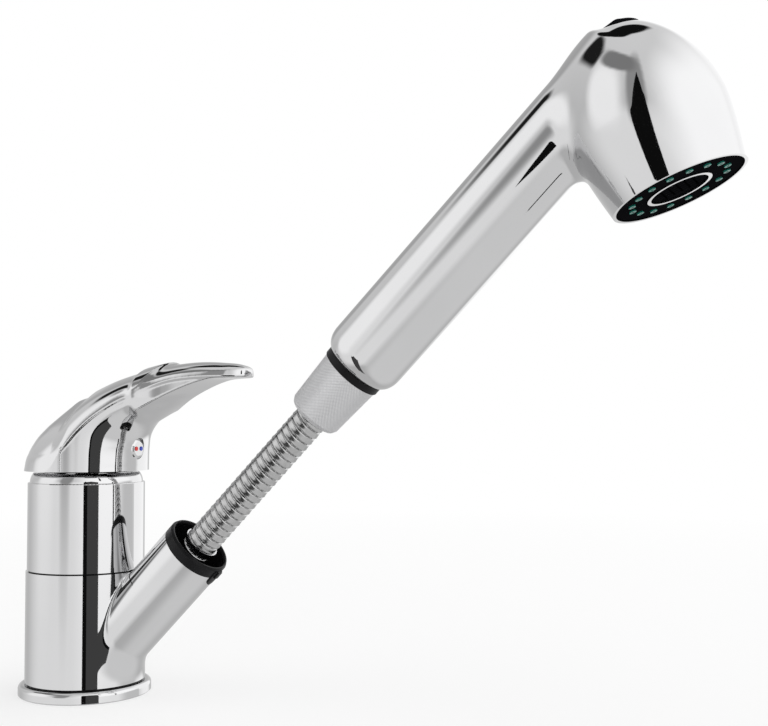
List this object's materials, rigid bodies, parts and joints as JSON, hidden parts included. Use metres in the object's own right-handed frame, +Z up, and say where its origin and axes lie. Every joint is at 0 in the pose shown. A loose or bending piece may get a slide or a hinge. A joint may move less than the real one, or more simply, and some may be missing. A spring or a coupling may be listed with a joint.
{
  "type": "pull-out kitchen mixer tap",
  "caption": "Single-lever kitchen mixer with a slanting swivel spout and a pull-out two-mode spray on a ribbed metal hose, drawn out of its dock.",
  "frame": {"origin": "centre of the base's underside, on the worktop", "axes": "+Z up along the body, +X along the spout and spray, +Y to the cold side"},
  "size_m": [0.3104, 0.059, 0.2624],
  "materials": {
    "chrome_plate": "polished",
    "chrome_satin": "satin",
    "black_plastic": "gloss",
    "grey_plastic": "matt",
    "white_plastic": "matt",
    "rubber_black": "matt",
    "nozzle_rubber": "matt",
    "brass": "turned",
    "steel": "bright",
    "ceramic": "polished",
    "red_mark": "gloss",
    "blue_mark": "gloss"
  },
  "bodies": {
    "base": {"base_gasket": "rubber_black", "base_flange": "chrome_plate", "lower_slip_ring": "black_plastic", "main_body": "chrome_plate", "friction_o_rings": "rubber_black", "upper_slip_ring": "black_plastic", "cartridge_seals": "rubber_black", "cartridge_housing": "grey_plastic", "fixed_ceramic_disc": "ceramic", "cartridge_nut": "brass", "dome_ring": "chrome_plate"},
    "spout": {"spout_sleeve": "chrome_plate", "spout_collar": "black_plastic"},
    "hose": {"hose": "chrome_plate", "hose_liner": "white_plastic", "hose_guide_ring": "steel", "hose_ferrule": "steel", "hose_insert": "brass"},
    "handset": {"hose_nut": "chrome_satin", "swivel_washer": "rubber_black", "handle_end_ring": "black_plastic", "handle_connector": "brass", "waterway_o_rings": "rubber_black", "check_valve": "grey_plastic", "waterway_pipe": "white_plastic", "handset_shell": "chrome_plate", "diverter_body": "white_plastic", "diverter_spring": "steel", "spray_face": "black_plastic", "nozzle_mat": "nozzle_rubber", "aerator_ring": "chrome_plate", "aerator": "black_plastic", "face_seal": "rubber_black"},
    "diverter": {"diverter_button": "black_plastic", "diverter_spool": "grey_plastic", "spool_seals": "rubber_black"},
    "lever_turn": {"spindle_guide": "white_plastic", "lever_pivot_pin": "steel"},
    "mixer_disc": {"moving_ceramic_disc": "ceramic", "disc_carrier": "grey_plastic"},
    "lever": {"lever": "chrome_plate", "spindle": "brass", "lever_grub_screw": "steel", "index_plug": "chrome_plate", "hot_mark": "red_mark", "cold_mark": "blue_mark"}
  },
  "joints": [
    {"name": "spout_swivel", "type": "hinge", "parent": "base", "child": "spout", "pos_m": [0, 0, 0.03], "axis": [0, 0, 1], "range_deg": [-60, 60]},
    {"name": "handset_pull", "type": "slide", "parent": "spout", "child": "hose", "axis": [0.7071, 0, 0.7071], "range_m": [-0.0992, 0.04]},
    {"name": "handset_spin", "type": "hinge", "parent": "hose", "child": "handset", "pos_m": [0.11879, 0, 0.12599], "axis": [0.7071, 0, 0.7071], "range_deg": [-180, 180]},
    {"name": "diverter_press", "type": "slide", "parent": "handset", "child": "diverter", "axis": [0.3827, 0, -0.9239], "range_m": [0, 0.002], "stiffness_N_per_m": 1000, "springref_m": -0.002},
    {"name": "lever_turn", "type": "hinge", "parent": "base", "child": "lever_turn", "pos_m": [0, 0, 0.084], "axis": [0, 0, 1], "range_deg": [-55, 55]},
    {"name": "lever_lift", "type": "hinge", "parent": "lever_turn", "child": "lever", "pos_m": [0, 0, 0.084], "axis": [0, -1, 0], "range_deg": [0, 18]},
    {"name": "disc_shift", "type": "slide", "parent": "lever_turn", "child": "mixer_disc", "axis": [1, 0, 0], "range_m": [0, 0.0033]}
  ],
  "couplings": [
    {"joint": "disc_shift", "follows": "lever_lift", "m_per_rad": 0.0098}
  ]
}
